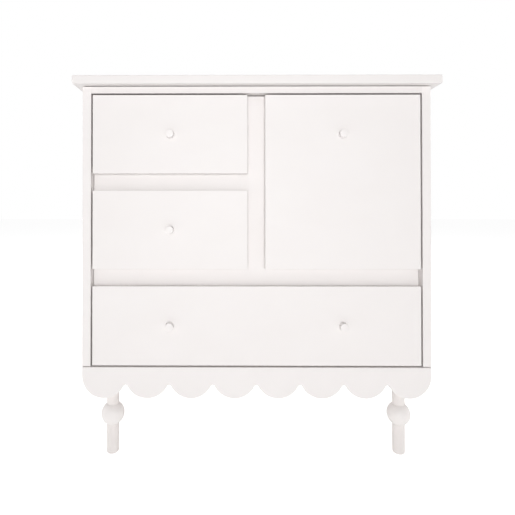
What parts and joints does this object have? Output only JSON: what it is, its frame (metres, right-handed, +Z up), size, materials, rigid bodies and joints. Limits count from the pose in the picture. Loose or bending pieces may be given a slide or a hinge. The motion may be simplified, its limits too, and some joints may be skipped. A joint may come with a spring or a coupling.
{
  "type": "miniature chest of drawers",
  "caption": "Off-white miniature chest of drawers with inset sliding drawers, a recessed face frame, a scalloped skirt and dowel legs with round beads.",
  "frame": {"origin": "on the floor, under the middle of the box that holds the whole chest", "axes": "+Z up, +X to the right seen from the front, the drawers open towards -Y"},
  "size_m": [0.1288, 0.0628, 0.1354],
  "materials": {
    "case_lacquer": "satin off-white lacquer on thin board",
    "front_lacquer": "satin off-white lacquer on thin board",
    "leg_lacquer": "satin off-white lacquer on turned hardwood",
    "knob_lacquer": "satin off-white lacquer on turned hardwood",
    "bare_birch": "sanded bare birch"
  },
  "bodies": {
    "carcass": {"top_board": "case_lacquer", "carcass_top_panel": "case_lacquer", "side_panel_left": "case_lacquer", "side_panel_right": "case_lacquer", "base_board": "case_lacquer", "back_panel": "case_lacquer", "face_frame": "case_lacquer", "centre_divider": "bare_birch", "left_shelf": "bare_birch", "long_shelf": "bare_birch", "scalloped_skirt": "case_lacquer", "leg_dowel_front_left": "leg_lacquer", "leg_dowel_front_right": "leg_lacquer", "leg_dowel_rear_left": "leg_lacquer", "leg_dowel_rear_right": "leg_lacquer", "leg_bead_front_left": "leg_lacquer", "leg_bead_front_right": "leg_lacquer", "leg_bead_rear_left": "leg_lacquer", "leg_bead_rear_right": "leg_lacquer"},
    "upper_drawer": {"upper_drawer_front": "front_lacquer", "upper_drawer_side_left": "bare_birch", "upper_drawer_side_right": "bare_birch", "upper_drawer_back": "bare_birch", "upper_drawer_bottom": "bare_birch", "upper_drawer_knob": "knob_lacquer"},
    "middle_drawer": {"middle_drawer_front": "front_lacquer", "middle_drawer_side_left": "bare_birch", "middle_drawer_side_right": "bare_birch", "middle_drawer_back": "bare_birch", "middle_drawer_bottom": "bare_birch", "middle_drawer_knob": "knob_lacquer"},
    "deep_drawer": {"deep_drawer_front": "front_lacquer", "deep_drawer_side_left": "bare_birch", "deep_drawer_side_right": "bare_birch", "deep_drawer_back": "bare_birch", "deep_drawer_bottom": "bare_birch", "deep_drawer_knob": "knob_lacquer"},
    "bottom_drawer": {"bottom_drawer_front": "front_lacquer", "bottom_drawer_side_left": "bare_birch", "bottom_drawer_side_right": "bare_birch", "bottom_drawer_back": "bare_birch", "bottom_drawer_bottom": "bare_birch", "bottom_drawer_knob_left": "knob_lacquer", "bottom_drawer_knob_right": "knob_lacquer"}
  },
  "joints": [
    {"name": "upper_drawer_slide", "type": "slide", "parent": "carcass", "child": "upper_drawer", "axis": [0, -1, 0], "range_m": [0, 0.045]},
    {"name": "middle_drawer_slide", "type": "slide", "parent": "carcass", "child": "middle_drawer", "axis": [0, -1, 0], "range_m": [0, 0.045]},
    {"name": "deep_drawer_slide", "type": "slide", "parent": "carcass", "child": "deep_drawer", "axis": [0, -1, 0], "range_m": [0, 0.045]},
    {"name": "bottom_drawer_slide", "type": "slide", "parent": "carcass", "child": "bottom_drawer", "axis": [0, -1, 0], "range_m": [0, 0.045]}
  ]
}
